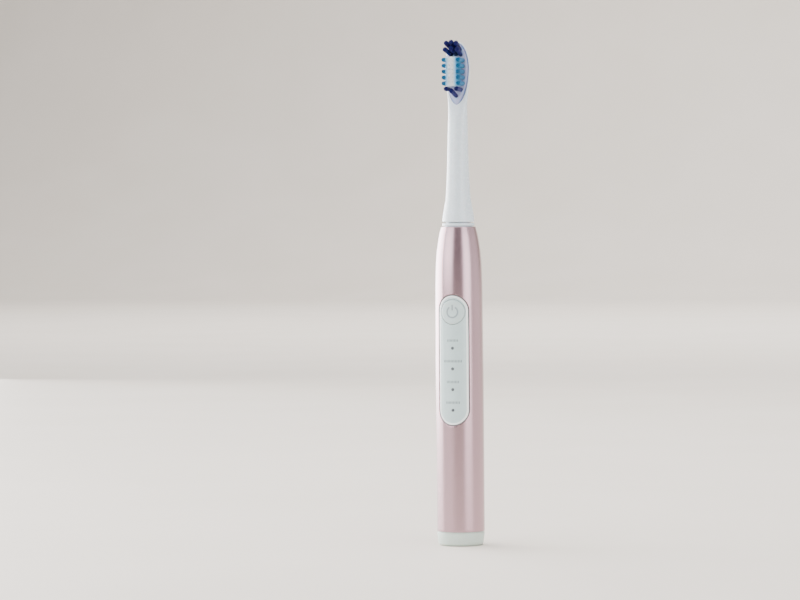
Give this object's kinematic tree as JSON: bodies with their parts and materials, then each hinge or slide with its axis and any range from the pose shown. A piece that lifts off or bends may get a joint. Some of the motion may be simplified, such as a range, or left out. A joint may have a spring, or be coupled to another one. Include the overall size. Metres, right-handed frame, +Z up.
{
  "type": "electric toothbrush",
  "caption": "Slim sonic toothbrush standing on its base: tapered metal handle with a control panel and button, and a pull-off oval brush head on an oscillating shaft.",
  "frame": {"origin": "centre of the base's underside", "axes": "+Z up along the handle, -Y towards the control panel and the bristles, +X to the right seen from the front"},
  "size_m": [0.0228, 0.0228, 0.2401],
  "materials": {
    "rose_metal": "satin",
    "white_plastic": "satin",
    "base_plastic": "satin",
    "panel_plastic": "satin",
    "dark_rubber": "matte",
    "seal_rubber": "matte",
    "clear_plate": "gloss",
    "blue_bristle": "satin",
    "pale_bristle": "satin",
    "navy_bristle": "satin",
    "lens": "gloss",
    "steel": "polished",
    "spring_steel": "satin",
    "bronze": "satin",
    "copper": "satin",
    "magnet_steel": "satin",
    "board_green": "satin",
    "black_plastic": "matte",
    "led_white": "gloss",
    "cell_jacket": "satin",
    "nickel": "satin",
    "ferrite": "matte",
    "chassis_plastic": "matte",
    "lead_insulation": "satin"
  },
  "bodies": {
    "handle": {"handle_shell": "rose_metal", "base_cap": "base_plastic", "base_seal": "seal_rubber", "top_collar": "white_plastic", "shaft_seal": "seal_rubber", "control_panel": "panel_plastic", "panel_gasket": "dark_rubber", "indicator_windows": "lens", "circuit_board": "board_green", "circuit_parts": "black_plastic", "indicator_leds": "led_white", "tact_switch": "black_plastic", "board_screws": "steel", "battery_cell": "cell_jacket", "battery_tabs": "nickel", "coil_former": "chassis_plastic", "charging_coil": "copper", "ferrite_shield": "ferrite", "coil_leads": "lead_insulation", "chassis": "chassis_plastic", "motor_housing": "spring_steel", "motor_end_cap": "chassis_plastic", "front_bearing": "bronze", "rear_bearing": "bronze", "motor_dampers": "dark_rubber", "stator_core": "magnet_steel", "stator_coils": "copper", "motor_leads": "lead_insulation"},
    "drive": {"drive_shaft": "steel", "rotor_hub": "magnet_steel", "rotor_magnets": "magnet_steel", "shaft_circlip": "spring_steel"},
    "button": {"power_button": "panel_plastic"},
    "plunger": {"switch_plunger": "led_white"},
    "brush_head": {"brush_neck": "white_plastic", "bristle_plate": "clear_plate", "shaft_sleeve": "black_plastic", "retaining_clip": "spring_steel", "side_tufts": "blue_bristle", "field_tufts": "pale_bristle", "tip_tufts": "navy_bristle", "heel_tufts": "navy_bristle"}
  },
  "joints": [
    {"name": "drive_oscillation", "type": "hinge", "parent": "handle", "child": "drive", "pos_m": [0, 0, 0.1], "axis": [0, 0, 1], "range_deg": [-5, 5], "stiffness_Nm_per_rad": 0.02},
    {"name": "head_pull_off", "type": "slide", "parent": "drive", "child": "brush_head", "axis": [0, 0, 1], "range_m": [0, 0.03]},
    {"name": "button_press", "type": "slide", "parent": "handle", "child": "button", "axis": [0, 1, 0], "range_m": [0, 0.0004], "stiffness_N_per_m": 2500},
    {"name": "switch_press", "type": "slide", "parent": "handle", "child": "plunger", "axis": [0, 1, 0], "range_m": [0, 0.0004]}
  ],
  "couplings": [
    {"joint": "switch_press", "follows": "button_press", "ratio": 1}
  ]
}
